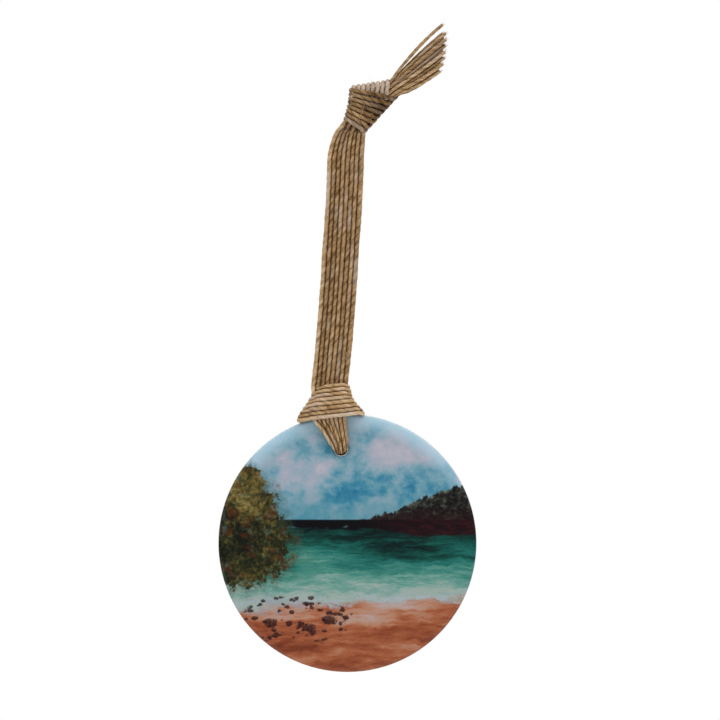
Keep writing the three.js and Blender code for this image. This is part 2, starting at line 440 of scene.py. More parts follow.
def measure_open_air():
    """How open each point of each strand lies, which sets the painted shade of the jute: 1 in the open, 0
    pressed against another strand or inside the hole. A strand that goes on where this one ends doesn't
    count."""
    tree = kdtree.KDTree(sum(len(strand.centre) for strand in TANGLE))
    owners, centres = [], []
    for number, strand in enumerate(TANGLE):
        for point in strand.centre:
            tree.insert(point, len(owners))
            owners.append(number)
            centres.append(point)
    tree.balance()
    owners, centres = np.array(owners), np.array(centres)
    for number, strand in enumerate(TANGLE):
        strand.open_air = np.ones(strand.groove.shape)
        for k, point in enumerate(strand.centre):
            near = [index for _, index, _ in tree.find_range(point, NEAR) if owners[index] != number]
            away = centres[near] - point
            beside = np.abs(away @ strand.tangent[k]) < 0.7 * np.linalg.norm(away, axis=1) - 0.2
            if beside.any():
                gaps = strand.rings[k][:, None, :] - centres[near][beside][None, :, :]
                closest = np.linalg.norm(gaps, axis=2).min(axis=1) / strand.size[k]
                strand.open_air[k] = smooth_step((closest - 0.64) / 0.9)
        # painted shade: somewhat darker in the grooves between the plies and much darker inside the hole
        strand.open_air *= (0.8 + 0.2 * strand.groove) * (1 - 0.85 * inside_hole(strand.rings))


def inside_hole(points):
    """1 for points inside the hole, falling to 0 just in front of it and behind it."""
    from_axis = np.hypot(points[..., 0] - HOLE[0], points[..., 2] - HOLE[2])
    depth = smooth_step((HALF_THICKNESS + 0.5 - np.abs(points[..., 1])) / 1.3)
    return depth * (from_axis < HOLE_RADIUS + 0.4)


class Weave:
    """Collects strands and loose fibres and makes one mesh of them."""

    def __init__(self):
        self.points, self.faces = [], []
        self.fibre = []
        self.shades = {"open_air": [], "pale": [], "fold_highlight": [], "tone": []}
        self.count = 0

    def tube(self, rings, fibre, **shades):
        """A closed tube through rings; each shade is one number or an array of one for each point."""
        rows, sides = rings.shape[:2]
        index = self.count + np.arange(rows * sides).reshape(rows, sides)
        near, far = index[:-1], index[1:]
        quads = np.stack([near, np.roll(near, -1, axis=1), np.roll(far, -1, axis=1), far], axis=-1)
        self.faces += quads.reshape(-1, 4).tolist()
        self.faces += [index[0, ::-1].tolist(), index[-1].tolist()]
        self.points.append(rings.reshape(-1, 3))
        self.fibre.append(fibre.reshape(-1, 3))
        for name, values in self.shades.items():
            values.append(np.broadcast_to(shades.get(name, 0.0), (rows, sides)).ravel())
        self.count += rows * sides

    def strand(self, strand, hairs_per_mm=0.22):
        along = {"pale": strand.pale[:, None], "fold_highlight": strand.fold_highlight[:, None]}
        self.tube(strand.rings, strand.fibre, open_air=strand.open_air, tone=strand.tone, **along)
        for _ in range(RANDOM.poisson(hairs_per_mm * SPACING * len(strand.rings))):
            self.hair(strand)

    def hair(self, strand):
        """One loose fibre that leaves the strand's side at a low angle."""
        at = RANDOM.integers(1, len(strand.rings) - 1)
        root = strand.rings[at, RANDOM.integers(SIDES)]
        out = unit(root - strand.centre[at])
        ahead = strand.tangent[at] * RANDOM.choice([-1, 1])
        length = RANDOM.uniform(0.7, 2.6)
        lift = RANDOM.uniform(0.12, 0.5)
        sway = RANDOM.normal(0, 0.25, 3)
        t = np.linspace(0, 1, 6)[:, None]
        line = root - 0.05 * out + length * (ahead * t + out * lift * t + sway * t * t)
        self.thread(line, RANDOM.uniform(0.016, 0.03), strand.tone)

    def thread(self, line, radius, tone):
        """A thin closed fibre along a line, thinner towards its end."""
        tangent, side = carried_sides(line)
        other = np.cross(tangent, side)
        angle = 2 * np.pi * np.arange(3) / 3
        taper = radius * np.linspace(1, 0.45, len(line))[:, None, None]
        rings = line[:, None] + taper * (
            side[:, None] * np.cos(angle)[None, :, None]
            + other[:, None] * np.sin(angle)[None, :, None]
        )
        self.tube(rings, np.zeros(rings.shape), open_air=1.0, tone=tone)

    def make(self, name):
        mesh = bpy.data.meshes.new(name)
        mesh.from_pydata(place(np.vstack(self.points)).tolist(), [], self.faces)
        fibre = mesh.attributes.new("fibre", "FLOAT_VECTOR", "POINT")
        fibre.data.foreach_set("vector", np.vstack(self.fibre).astype(np.float32).ravel())
        for key, values in self.shades.items():
            shade = mesh.attributes.new(key, "FLOAT", "POINT")
            shade.data.foreach_set("value", np.concatenate(values).astype(np.float32))
        made = add_piece(name, mesh, JUTE)
        mesh.set_sharp_from_angle(angle=math.radians(65))
        return made


# ---------- the ribbon's legs ----------

PITCH = 1.33
LAYER = 0.66  # from the ribbon's middle plane to the middle of a layer
REAR_NEST, REAR_SQUEEZE = 0.4, 0.93  # the rear layer's shift and width, so it lies in the grooves
LEG_RADIUS = 0.755
LEG_LENGTH = 69.06
LEG_BOW = 0.6
LEG_BOTTOM, LEG_END = -0.7, 83.0
GATHER_STATIONS = (66.0, 70.7, 74.4, 76.8, 79.5, 84.0)
GATHER_WIDTHS = (1.0, 0.93, 0.8, 0.58, 0.5, 0.5)
LEAN_FROM = 78.0  # above this station the strands lean towards the slanted side of the knot
ANKLE_CUT, FOOT_CUT = 4.2, 13.8
LOWER_CUT, UPPER_CUT = 30.6, 54.6


def leg_point(station):
    return LEG_FOOT + station * UP


def leg_line(i, side):
    """Points on one strand of a leg: side is -1 for the front layer and 1 for the rear one."""
    points = []
    for station in np.arange(LEG_BOTTOM, LEG_END + 1, 2.4):
        bow = max(0.0, 4 * LEG_BOW * (station / LEG_LENGTH) * (1 - station / LEG_LENGTH))
        width = float(np.interp(station, GATHER_STATIONS, GATHER_WIDTHS))
        nest, squeeze = (REAR_NEST, REAR_SQUEEZE) if side > 0 else (0.0, 1.0)
        spread = (i - (STRANDS - 1) / 2) * PITCH * squeeze
        edge = (STRANDS - 1) / 2 * PITCH
        across = bow + nest + edge - (edge - spread) * width + 0.05 * math.sin(station / 7.0 + 1.7 * i)
        across += 0.55 * max(0.0, station - LEAN_FROM)
        stagger = 0.65 * (1 - width) * (1 if i % 2 else -1)
        depth = side * LAYER + stagger
        radius = LEG_RADIUS * (1 - 0.22 * (1 - width))
        points.append([*(leg_point(station) + across * ACROSS + np.array([0, depth, 0])), radius])
    return points


def stations(strand):
    return (strand.centre - LEG_FOOT) @ UP


def slice_between(strand, low, high):
    """The stretch of a leg strand between two stations, sharing its end rings with its neighbours."""
    at = stations(strand)
    first = int(np.argmin(np.abs(at - low)))
    last = int(np.argmin(np.abs(at - high)))
    return strand.cut(first, last)


def bend(piece):
    """Bakes the piece's place into its mesh, so it stays where it was made."""
    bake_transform(piece)


def single(name, strand):
    weave = Weave()
    weave.strand(strand)
    return weave.make(name)


def plan_legs(tones):
    """Every leg strand whole, keyed by layer, before any is cut at the flexing places."""
    return {
        "front": [Strand(leg_line(i, -1), 0.05, tones[STRANDS - 1 - i]) for i in range(STRANDS)],
        "rear": [Strand(leg_line(i, 1), 0.05, tones[i]) for i in range(STRANDS)],
    }


def add_legs(legs):
    for layer, strands in legs.items():
        front = layer == "front"
        foot_top = FOOT_CUT if front else FOOT_AT
        ankle, foot = Weave(), Weave()
        for i, whole in enumerate(strands):
            ankle.strand(slice_between(whole, LEG_BOTTOM, ANKLE_CUT))
            foot.strand(slice_between(whole, ANKLE_CUT, foot_top))
            name = f"{layer}_strand_{i + 1}"
            lower = single(name + "_lower", slice_between(whole, foot_top, LOWER_CUT))
            middle = single(name + "_middle", slice_between(whole, LOWER_CUT, UPPER_CUT))
            upper = single(name + "_upper", slice_between(whole, UPPER_CUT, LEG_END))
            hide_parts(f"{layer}_lower_strand_{i + 1}")
            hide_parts(f"{layer}_upper_strand_{i + 1}")
            if front:
                bend(lower)
            else:
                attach(lower, "rear_lower_leg")
            bend(middle)
            bend(upper)
        ankle_piece = ankle.make(f"{layer}_ankle_strands")
        foot_piece = foot.make(f"{layer}_foot_strands")
        if front:
            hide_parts("leg_ankle")
            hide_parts("leg_foot")
        bend(ankle_piece)
        bend(foot_piece)


# ---------- the hitch ----------

OVER_FACE = -2.95
HITCH_TOP, HITCH_BOTTOM = 46.2, 37.4
HITCH_RISE = 0.11
HITCH_RADIUS = 0.68
OVERLAP = 0.7  # how far the hitch's strands start inside the ends of the legs
REAR_DEPTH = 2.5
LEGS_X = -5.3
# Where each strand turns over the band's left and right edge (x, z), from the top strand down.
LEFT_TURNS = (
    (-8.8, 45.0), (-10.0, 43.4), (-10.8, 41.9), (-11.6, 40.5),
    (-12.5, 39.2), (-13.3, 38.1), (-13.9, 37.1), (-14.2, 36.2),
)
RIGHT_TURNS = (
    (0.1, 45.8), (0.5, 44.6), (0.8, 43.3), (1.4, 41.9),
    (2.2, 40.7), (3.1, 39.7), (3.9, 38.8), (4.5, 38.1),
)


def mix(a, b, t):
    return a + (b - a) * t


def leg_depth(z):
    """The depth of the legs' middle where the hitch presses them over the rim and on to the face."""
    return OVER_FACE * (1 - float(smooth_step((z - 38.6) / (47.2 - 38.6))))


def in_hole(i, side):
    """Where strand i of the front or rear layer lies in the hole, as x and z from its middle."""
    share = i / (STRANDS - 1)
    if side < 0:
        turn = math.radians(mix(200, 340, share))
        return HOLE[0] + 1.5 * math.cos(turn), HOLE[2] + 1.5 * math.sin(turn)
    return HOLE[0] + mix(-1.2, 1.2, share), HOLE[2] + (0.0, 0.8)[i % 2]


def fan_route(i, side):
    """One leg strand from inside its end under the hitch, down over the face and into the hole."""
    *foot, radius = leg_line(i, side)[0]
    hole_x, hole_z = in_hole(i, side)
    out = side * 0.5
    step = 0.16 if i % 2 else -0.16
    knee = -4.95 + 0.68 * i if side < 0 else -4.2 + 0.58 * i
    drop = 0.0 if side < 0 else 0.7
    return [
        [*(foot + OVERLAP * UP), 0.95 * radius],
        [*foot, 0.95 * radius],
        [-9.9 + i * 1.28, leg_depth(43.0) + out, 43.0, 0.64],
        [-10.0 + i * 1.28, leg_depth(39.6) + out, 39.6, 0.6],
        [-9.75 + i * 1.27, OVER_FACE + out, 36.6, 0.6],
        [-7.3 + i * 0.95, OVER_FACE + out + step, 33.0 + 0.1 * abs(i - 4), 0.52],
        [knee, OVER_FACE + out + 1.4 * step, 29.4 + drop, 0.45],
        [mix(knee, hole_x, 0.6), OVER_FACE * 0.75 + out + step, mix(28.3 + drop, hole_z, 0.35), 0.43],
        [hole_x, -0.7, hole_z, 0.43],
        [hole_x, 1.0, hole_z - 0.42, 0.43],
    ]


def rear_route(j, turn, side, rear):
    """From the back of the hole to near the band's edge, for the left (-1) or right (1) fan."""
    hole_x, hole_z = in_hole(STRANDS - 1 - j if side < 0 else j, side)
    turn_x, turn_z = turn
    down = j / (STRANDS - 1)
    near_x = turn_x - side * 2.4
    layer = rear - 0.25 * (j % 2)
    return [
        [mix(hole_x, near_x, 0.1), HALF_THICKNESS + 0.7, hole_z - 0.1 + 0.5 * (1 - down), 0.43],
        [mix(hole_x, near_x, 0.35), layer, mix(hole_z, turn_z, 0.25 + 0.1 * (1 - down)), 0.52],
        [mix(hole_x, near_x, 0.7), layer, mix(hole_z, turn_z, 0.6), 0.6],
        [near_x, rear, turn_z - 1.5 - 0.4 * side, 0.66],
    ]


def hitch_route(j):
    """One strand of the hitch, from the front leg down the face, through the hole, up the back to the
    left, across the band, down the back from the right and through the hole to the rear leg."""
    down = j / (STRANDS - 1)
    middle_z = mix(HITCH_TOP, HITCH_BOTTOM, down)
    left, right = LEFT_TURNS[j], RIGHT_TURNS[j]
    front = leg_depth(middle_z - 1.0) - 1.75
    rear = REAR_DEPTH
    half = (rear - front) / 2
    middle_y = (rear + front) / 2
    r = HITCH_RADIUS

    def height(x):
        return middle_z + HITCH_RISE * (x - LEGS_X)

    def edge(turn, inward):
        """From behind, round an edge and on to the front; inward is 1 at the left edge."""
        x, z = turn
        fall = height(x) - z
        return [
            [x + 0.35 * inward, middle_y + 0.75 * half, z - 0.45 * fall - 0.1, r],
            [x, middle_y, z, 1.08 * r],
            [x + 0.3 * inward, middle_y - 0.72 * half, z + 0.4 * fall, r],
            [x + 1.3 * inward, front + 0.1 * half, z + 0.8 * fall, r],
            [x + 3.0 * inward, front - 0.05, height(x + 3.0 * inward), r],
        ]

    across = edge(left, 1) + [[LEGS_X, front - 0.14, middle_z, r]] + edge(right, -1)[::-1]
    up_left = rear_route(j, left, -1, rear)
    down_right = rear_route(j, right, 1, rear)[::-1]
    return fan_route(STRANDS - 1 - j, -1) + up_left + across + down_right + fan_route(j, 1)[::-1]


def plan_hitch(tones):
    strands = [Strand(hitch_route(j), 0.03, tones[j]) for j in range(STRANDS)]
    for strand in strands:
        x, _, z = strand.centre.T
        strand.pale = 0.1 * smooth_step((48.0 - z) / 2.5) - 0.07 * smooth_step((37.5 - z) / 3.0)
        strand.pale += 0.06 * smooth_step((x + 4.0) / 4.0) * smooth_step((z - 37.0) / 2.0)
    return strands


def add_hitch(strands):
    for j, strand in enumerate(strands):
        piece = single(f"hitch_ribbon_strand_{j + 1}", strand)
        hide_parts(f"hitch_strand_{j + 1}")
        if j == 0:
            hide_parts("legs_in_hitch", "front_fan", "rear_fan_left", "rear_fan_right")
        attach(piece, "disc")


# ---------- the knot and the cut ends ----------

KNOT_LEFT = ((1.0, 133.35), (-0.55, 125.0))  # turns of the top and bottom strand, x and z
KNOT_RIGHT = ((13.75, 130.85), (5.0, 121.3))
KNOT_TOP = ((11.9, 135.85), (1.9, 134.2))
FOLD_LINE = np.array([0.695, 0.719])  # along the slanted right edge, upwards
KNOT_FRONT = 3.0


def knot_route(j):
    """One strand of the ribbon round the knot: from inside, behind to the left edge, across the front
    down to the slanted right edge, up the back and over the top, and down inside the front."""
    down = j / (STRANDS - 1)
    left, right, top = (
        np.array([mix(a, b, down) for a, b in zip(*ends)]) for ends in (KNOT_LEFT, KNOT_RIGHT, KNOT_TOP))
    left[0] += 0.4 * math.sin(math.pi * down)
    run = right - left
    sag = -0.35 * math.sin(math.pi * down)
    r, wide = 0.61, 0.72

    def front(share, depth):
        at = left + share * run
        return [at[0], -depth, at[1] + sag * 4 * share * (1 - share), r]

    inside = mix(right, left, 0.45)
    over = right - 0.5 * FOLD_LINE
    behind = right + 1.3 * FOLD_LINE
    return [
        [inside[0], 1.5, inside[1] + 1.4 * down, 0.6],
        [left[0] + 2.6, 1.9, left[1] + 0.2 - 2.6 * 0.2, 0.66],
        [left[0] + 0.5, 1.35, left[1], r],
        [left[0], 0.0, left[1], 1.12 * r],
        [left[0] + 0.35, -1.5, left[1], 1.1 * r],
        front(0.13, 2.55),
        front(0.32, KNOT_FRONT),
        front(0.6, KNOT_FRONT),
        front(0.82, 2.3),
        [over[0] - 0.3, -1.1, over[1] + 0.3, r],
        [right[0], 0.0, right[1], r],
        [behind[0] - 0.15, 1.0, behind[1] + 0.15, r],
        [mix(behind[0], top[0], 0.45), 2.5, mix(behind[1], top[1], 0.4), r],
        [top[0] - 0.05, 1.75, top[1] - 0.75, wide],
        [top[0], 0.55, top[1], wide],
        [top[0] - 0.02, -0.75, top[1] - 0.1, wide],
        [top[0] - 0.1, -1.6, top[1] - 1.1, wide],
        [top[0] - 0.4, -1.75, top[1] - 3.4, wide],
        [top[0] - 0.5, -1.5, mix(top[1] - 5.4, 126.6, down), wide],
    ]


LOOSE_FIBRE = ((5.0, -3.85, 129.2), (4.4, -4.0, 127.0), (3.6, -3.95, 124.6), (3.1, -3.6, 122.6))
# Where the front layer's cut ends stop (x, z), from the top one down.
TAIL_TIPS = (
    (28.0, 152.6), (28.9, 150.1), (29.0, 148.3), (28.9, 146.5),
    (28.8, 144.6), (28.5, 142.9), (28.1, 141.0), (27.3, 139.0),
)


def tail_route(i, side):
    """One cut end, from inside the knot to its tip."""
    row = i + (0.5 if side > 0 else 0.0)
    down = row / (STRANDS - 0.5)
    row = min(row, STRANDS - 1.0)
    start = np.array([mix(12.5, 15.0, down), mix(135.7, 132.1, down)])
    first, part = int(row), row - int(row)
    tip = mix(np.array(TAIL_TIPS[first]), np.array(TAIL_TIPS[min(first + 1, STRANDS - 1)]), part)
    if side > 0:
        tip = tip - (0.5 + 0.7 * abs(math.sin(3.0 * i)), 0.4 + (0.9 if i == 0 else 0.0))
    sag = mix(0.6, -0.9, down) + (0.5 if i == 0 and side < 0 else 0.0)
    depth = side * 0.42 + (0.28 if i % 2 else -0.28)
    points = [
        [mix(3.0, 5.4, down), 0.5 * depth, mix(129.4, 123.4, down), 0.8],
        [mix(8.6, 10.6, down), 0.9 * depth, mix(132.9, 128.4, down), 0.74],
    ]
    for t in (0.0, 0.2, 0.42, 0.62, 0.82, 1.0):
        flat = mix(start, tip, t)
        points.append([flat[0], depth * (1 + 0.9 * t), flat[1] + 4 * sag * t * (1 - t), 0.5])
    return points


def fray(weave, strand, fibres=9):
    """Short loose fibres where a strand was cut."""
    centre, ahead = strand.centre[-1], strand.tangent[-1]
    for _ in range(fibres):
        root = centre + (strand.rings[-1, RANDOM.integers(SIDES)] - centre) * RANDOM.uniform(0.2, 0.95)
        out = unit(root - centre)
        length = RANDOM.uniform(0.3, 1.1)
        t = np.linspace(0, 1, 4)[:, None]
        line = root - 0.1 * ahead + length * (ahead * t + 0.35 * out * t * t)
        weave.thread(line, RANDOM.uniform(0.03, 0.06), strand.tone)


def plan_knot():
    """The knot's strands, with painted shade on the right of its front and a painted highlight on its upper
    fold, and the ends.
    """
    wrap = [Strand(knot_route(j), 0.03, RANDOM.random()) for j in range(STRANDS)]
    for strand in wrap:
        # painted highlight on the upper fold, which turns up to the light
        strand.fold_highlight = smooth_step((strand.along / strand.along[-1] - 0.6) / 0.12)
        # painted shade on the right of the knot's front, and lightness raised on the upper fold as a
        # painted highlight
        right = smooth_step((strand.centre[:, 0] - 3.0) / 5.0)
        strand.pale = -0.09 - 0.16 * right * (1 - strand.fold_highlight) + 0.15 * strand.fold_highlight
    tails = [
        [Strand(tail_route(i, side), 0.05, RANDOM.random()) for side in (-1, 1)]
        for i in range(STRANDS)
    ]
    for strand in sum(tails, []):
        strand.pale += 0.02
    return wrap, tails


def add_knot(wrap, tails):
    knot = Weave()
    for strand in wrap:
        knot.strand(strand)
    knot.thread(curve_through(LOOSE_FIBRE), 0.08, 0.9)
    knot_piece = knot.make("knot_strands")
    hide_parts("knot_wrap", "knot_throat", "knot_fold")
    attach(knot_piece, "knot")
    for i, pair in enumerate(tails):
        ends = Weave()
        for strand in pair:
            ends.strand(strand)
            fray(ends, strand)
        piece = ends.make(f"tail_strand_{i + 1}_ends")
        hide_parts(f"tail_strand_{i + 1}")
        if i == 0:
            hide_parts("knot_core")
        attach(piece, "knot")


def add_ribbon():
    tones = RANDOM.random(STRANDS)
    legs = plan_legs(tones)
    hitch = plan_hitch(tones)
    wrap, tails = plan_knot()
    measure_open_air()
    add_legs(legs)
    add_hitch(hitch)
    add_knot(wrap, tails)


add_ribbon()


# ---------- the ceramic disc and its print ----------

AROUND = 288
EDGE_RADIUS = 1.2
LIP = 0.22  # radius of the glazed lip of the hole


def arc(centre_r, centre_y, radius, start, end, steps):
    """(r, y) points on an arc of the edge's profile; angles in degrees, 0 pointing outwards."""
    angles = np.radians(np.linspace(start, end, steps))
    return [(centre_r + radius * math.cos(a), centre_y + radius * math.sin(a)) for a in angles]


def ring(middle_x, middle_z, radius, y):
    angle = 2 * np.pi * np.arange(AROUND) / AROUND
    return np.column_stack([
        middle_x + radius * np.cos(angle), np.full(AROUND, y), middle_z + radius * np.sin(angle)])


def closed_rings(name, rings, material):
    """A closed surface through rings, each joined to the next and the last to the first."""
    count = len(rings)
    index = np.arange(count * AROUND).reshape(count, AROUND)
    far = np.roll(index, -1, axis=0)
    quads = np.stack([index, far, np.roll(far, -1, axis=1), np.roll(index, -1, axis=1)], axis=-1)
    mesh = bpy.data.meshes.new(name)
    mesh.from_pydata(place(np.vstack(rings)).tolist(), [], quads.reshape(-1, 4).tolist())
    made = add_piece(name, mesh, material)
    return made


def across_face(y, from_radius, to_radius, steps):
    """Rings over a flat face, from a circle round the hole to one round the disc."""
    made = []
    for t in np.linspace(0, 1, steps):
        shift = 1 - t
        radius = mix(from_radius, to_radius, t)
        made.append(ring(HOLE[0] * shift, HOLE[2] * shift, radius, y))
    return made


def ceramic_rings():
    flat = DISC_RADIUS - EDGE_RADIUS
    half = HALF_THICKNESS
    lip_r = HOLE_RADIUS + LIP
    rings = [ring(HOLE[0], HOLE[2], r, y) for r, y in arc(lip_r, LIP - half, LIP, 180, 270, 6)]
    rings += across_face(-half, lip_r, flat, 26)[1:]
    rings += [ring(0, 0, r, y) for r, y in arc(flat, EDGE_RADIUS - half, EDGE_RADIUS, -90, 0, 12)[1:]]
    rings += [ring(0, 0, r, y) for r, y in arc(flat, half - EDGE_RADIUS, EDGE_RADIUS, 0, 90, 12)]
    rings += across_face(half, lip_r, flat, 26)[-2:0:-1]
    rings += [ring(HOLE[0], HOLE[2], r, y) for r, y in arc(lip_r, half - LIP, LIP, 90, 180, 6)]
    return rings


PRINT_GAP, PRINT_THICKNESS = 0.02, 0.05


def print_rings():
    """A thin skin on the face that follows the disc's rounded edge part of the way round."""
    flat = DISC_RADIUS - EDGE_RADIUS
    half = HALF_THICKNESS
    hole_edge = HOLE_RADIUS + LIP - 0.04

    def side(height, last):
        rings = across_face(-half - height, hole_edge, flat, 26)
        curve = arc(flat, EDGE_RADIUS - half, EDGE_RADIUS + height, -90, last, 9)
        return rings + [ring(0, 0, r, y) for r, y in curve[1:]]

    return side(PRINT_GAP + PRINT_THICKNESS, -28) + side(PRINT_GAP, -27)[::-1]


def ceramic_material():
    """White glaze: nearly plain, with faint mottling and a slight orange-peel surface."""
    s = Shader("white_glaze")
    place_at = s.node("ShaderNodeTexCoord").outputs["Object"]
    mottle = s.noise(place_at, 260, 3)
    s.put(s.surface.inputs["Base Color"], s.mix(mottle, linear(228, 229, 227), linear(240, 240, 237)))
    s.put(s.surface.inputs["Roughness"], s.add(0.07, s.mul(mottle, 0.06)))
    s.surface.inputs["Coat Weight"].default_value = 0.4
    s.surface.inputs["Coat Roughness"].default_value = 0.04
    s.put(s.surface.inputs["Normal"], s.bump(s.noise(place_at, 900, 2), 0.01 * MM, 0.25))
    return s.material


def picture_material():
    """A glossy print: a seaside in loose washes that thins to white at the disc's upper edge."""
    s = Shader("printed_picture")
    at = s.parts(s.node("ShaderNodeTexCoord").outputs["Object"])
    x = s.mul(s.sub(at[0], CENTRE.x), 1 / MM)
    z = s.mul(s.sub(at[2], CENTRE.z), 1 / MM)
    s.put(s.surface.inputs["Base Color"], Picture(s, x, z).paint())
    s.surface.inputs["Roughness"].default_value = 0.12
    s.surface.inputs["Specular IOR Level"].default_value = 0.18
    return s.material


class Picture:
    """A generic seaside of our own, washed on from far to near: sky, headland, sea, sand, rocks, bush."""

    def __init__(self, s, x, z):
        self.s = s
        self.grain = s.sub(s.noise(s.vector(x, 0.0, z), 2.2, 3, 0.7), 0.5)
        self.x = s.add(x, s.add(self.spread(x, z, 0.13, 31.0, 4.0), self.spread(x, z, 0.9, 33.0, 1.0)))
        self.z = s.add(z, s.add(self.spread(x, z, 0.13, 35.0, 3.0), self.spread(x, z, 0.9, 37.0, 0.8)))
        self.true_x, self.true_z = x, z

    def spread(self, x, z, scale, seat, amount):
        """How far the wet paint has run: noise around 0, in mm."""
        s = self.s
        return s.mul(s.sub(s.noise(s.vector(x, seat, z), scale, 2), 0.5), amount)

    def wash(self, seat, scale, stretch=1.0, detail=4, roughness=0.55):
        """Noise around 0 over the picture; stretch below 1 draws it out sideways."""
        s = self.s
        at = s.vector(s.mul(self.x, stretch), seat, self.z)
        return s.sub(s.noise(at, scale, detail, roughness), 0.5)

    def patch(self, x, z, half_width, half_height, lean=0.0):
        """1 in the middle of a soft oval and 0 outside it."""
        s = self.s
        dz = s.sub(self.z, z)
        dx = s.mul(s.sub(s.sub(self.x, x), s.mul(dz, lean)), 1 / half_width)
        dz = s.mul(dz, 1 / half_height)
        return s.rise(s.add(s.mul(dx, dx), s.mul(dz, dz)), 1.3, 0.1)

    def tune(self, value, *changes):
        """value with soft ovals added; each change is (amount, *oval)."""
        s = self.s
        for amount, *oval in changes:
            value = s.add(value, s.mul(self.patch(*oval), amount))
        return value

    def sky(self):
        """Broken cloud over blue, paling to the white glaze towards the disc's upper edge."""
        s = self.s
        cloud = s.add(0.54, s.mul(self.wash(1.0, 0.1, 0.85, 5, 0.58), 1.0))
        cloud = s.add(cloud, s.mul(self.wash(2.0, 0.3, 0.9, 4, 0.6), 0.5))
        cloud = self.tune(
            cloud, (0.16, 15, 28, 10, 7, 0.3), (0.12, -15, 22, 12, 7, 0.4), (-0.12, 3, 15, 8, 8, 0.8))
        colour = s.ramp(cloud, (
            (0.2, linear(20, 92, 132)),
            (0.36, linear(58, 126, 152)),
            (0.48, linear(102, 148, 164)),
            (0.6, linear(136, 160, 174)),
            (0.74, linear(160, 164, 178)),
            (0.9, linear(178, 174, 184)),
        ))
        colour = s.mix(s.mul(s.rise(self.z, 17.0, 8.0), 0.5), colour, linear(70, 132, 148))
        radius = self.radius()
        haze = s.mul(s.rise(radius, 32.5, 37.4), s.rise(self.true_z, 8.0, 30.0))
        colour = s.mix(s.mul(haze, 0.75), colour, linear(176, 206, 222))
        return s.mix(s.rise(s.add(radius, self.grain), 37.5, 38.3), colour, linear(226, 234, 238))

    def radius(self):
        s = self.s
        return s.math("SQRT", s.add(s.mul(self.true_x, self.true_x), s.mul(self.true_z, self.true_z)))

    def headland(self, below):
        s = self.s
        shape = s.add(s.mul(s.rise(self.true_x, -3.0, 44.0), 12.5), 6.2)
        lumps = s.noise(s.vector(self.true_x, 9.0, 0.0), 0.42, 4, 0.7)
        top = s.add(shape, s.mul(s.sub(lumps, 0.5), s.mul(s.rise(self.true_x, -1.0, 12.0), 6.0)))
        mask = s.rise(s.add(s.sub(top, self.true_z), s.mul(self.grain, 1.6)), -0.2, 0.3)
        mask = s.mul(mask, s.rise(self.true_x, -2.0, 1.0))
        leaves = s.add(0.42, s.mul(self.wash(5.0, 0.75, 0.9, 5, 0.75), 1.7))
        leaves = s.add(leaves, s.mul(s.rise(s.sub(top, self.true_z), 3.0, 0.0), 0.12))
        land = s.ramp(leaves, (
            (0.25, linear(14, 10, 14)),
            (0.45, linear(32, 28, 28)),
            (0.6, linear(50, 56, 50)),
            (0.8, linear(98, 102, 82)),
        ))
        land = s.mix(s.mul(s.rise(self.true_z, 12.0, 7.0), 0.7), land, linear(36, 16, 20))
        return s.mix(mask, below, land)

    def sea(self, below):
        s = self.s
        tone = s.add(s.mul(s.sub(4.6, self.z), 0.05), s.mul(self.wash(11.0, 0.34, 0.16, 5, 0.65), 1.1))
        tone = s.add(tone, s.mul(self.wash(12.0, 1.5, 0.13, 4, 0.65), 0.55))
        tone = self.tune(tone, (-0.14, 16, -3, 17, 3.5), (0.1, -9, -3.5, 9, 2.5))
        colour = s.ramp(tone, (
            (0.0, linear(8, 26, 26)),
            (0.14, linear(12, 46, 42)),
            (0.3, linear(18, 76, 68)),
            (0.48, linear(34, 106, 98)),
            (0.66, linear(66, 128, 116)),
            (0.84, linear(106, 150, 140)),
            (1.0, linear(146, 164, 156)),
        ))
        return s.mix(s.rise(self.true_z, 5.2, 4.2), below, colour)

    def far_shore(self, below):
        s = self.s
        fall = s.mul(s.rise(self.x, 2.0, 26.0), -2.0)
        lower = s.add(3.8, s.add(s.mul(self.wash(13.0, 0.5, 0.4), 3.4), fall))
        mask = s.mul(s.rise(self.true_z, 7.2, 6.7), s.rise(self.true_z, lower, s.add(lower, 0.9)))
        streak = s.rise(self.wash(14.0, 0.8, 0.3, 4, 0.7), -0.1, 0.2)
        warm = s.mix(streak, linear(26, 12, 18), linear(50, 18, 22))
        dark = s.mix(s.rise(self.x, 0.0, 26.0), linear(9, 9, 13), warm)
        return s.mix(mask, below, dark)

    def beach(self, below):
        s = self.s
        shore = s.add(s.add(-16.8, s.mul(self.x, 0.05)), s.mul(self.wash(15.0, 0.22, 0.5), 6.0))
        tone = s.add(0.44, s.mul(self.wash(16.0, 0.2, 0.2, 5, 0.6), 1.1))
        tone = s.add(tone, s.mul(self.wash(17.0, 1.1, 0.2, 4, 0.65), 0.5))
        tone = self.tune(
            tone, (0.24, 18, -17.5, 22, 2.2), (0.2, 4, -21.5, 11, 3.2), (0.26, -18, -19.5, 14, 3.6))
        sand = s.ramp(tone, (
            (0.12, linear(84, 34, 22)),
            (0.34, linear(130, 66, 42)),
            (0.5, linear(156, 90, 60)),
            (0.66, linear(170, 124, 100)),
            (0.84, linear(172, 148, 140)),
        ))
        below = s.mix(s.rise(s.sub(shore, self.z), -0.3, 1.7), below, sand)
        froth = s.rise(self.wash(18.0, 0.7, 0.4, 5, 0.7), -0.1, 0.12)
        edge = s.sub(self.z, shore)
        foam = s.mul(s.mul(s.rise(edge, -2.6, -0.4), s.rise(edge, 2.4, 0.2)), froth)
        below = s.mix(s.mul(foam, 0.85), below, linear(158, 168, 176))
        spray = s.mul(self.patch(-22, -18, 11, 3.5), s.rise(self.wash(19.0, 0.5, 0.5, 5, 0.7), -0.05, 0.12))
        return s.mix(s.mul(spray, 0.7), below, linear(142, 146, 156))

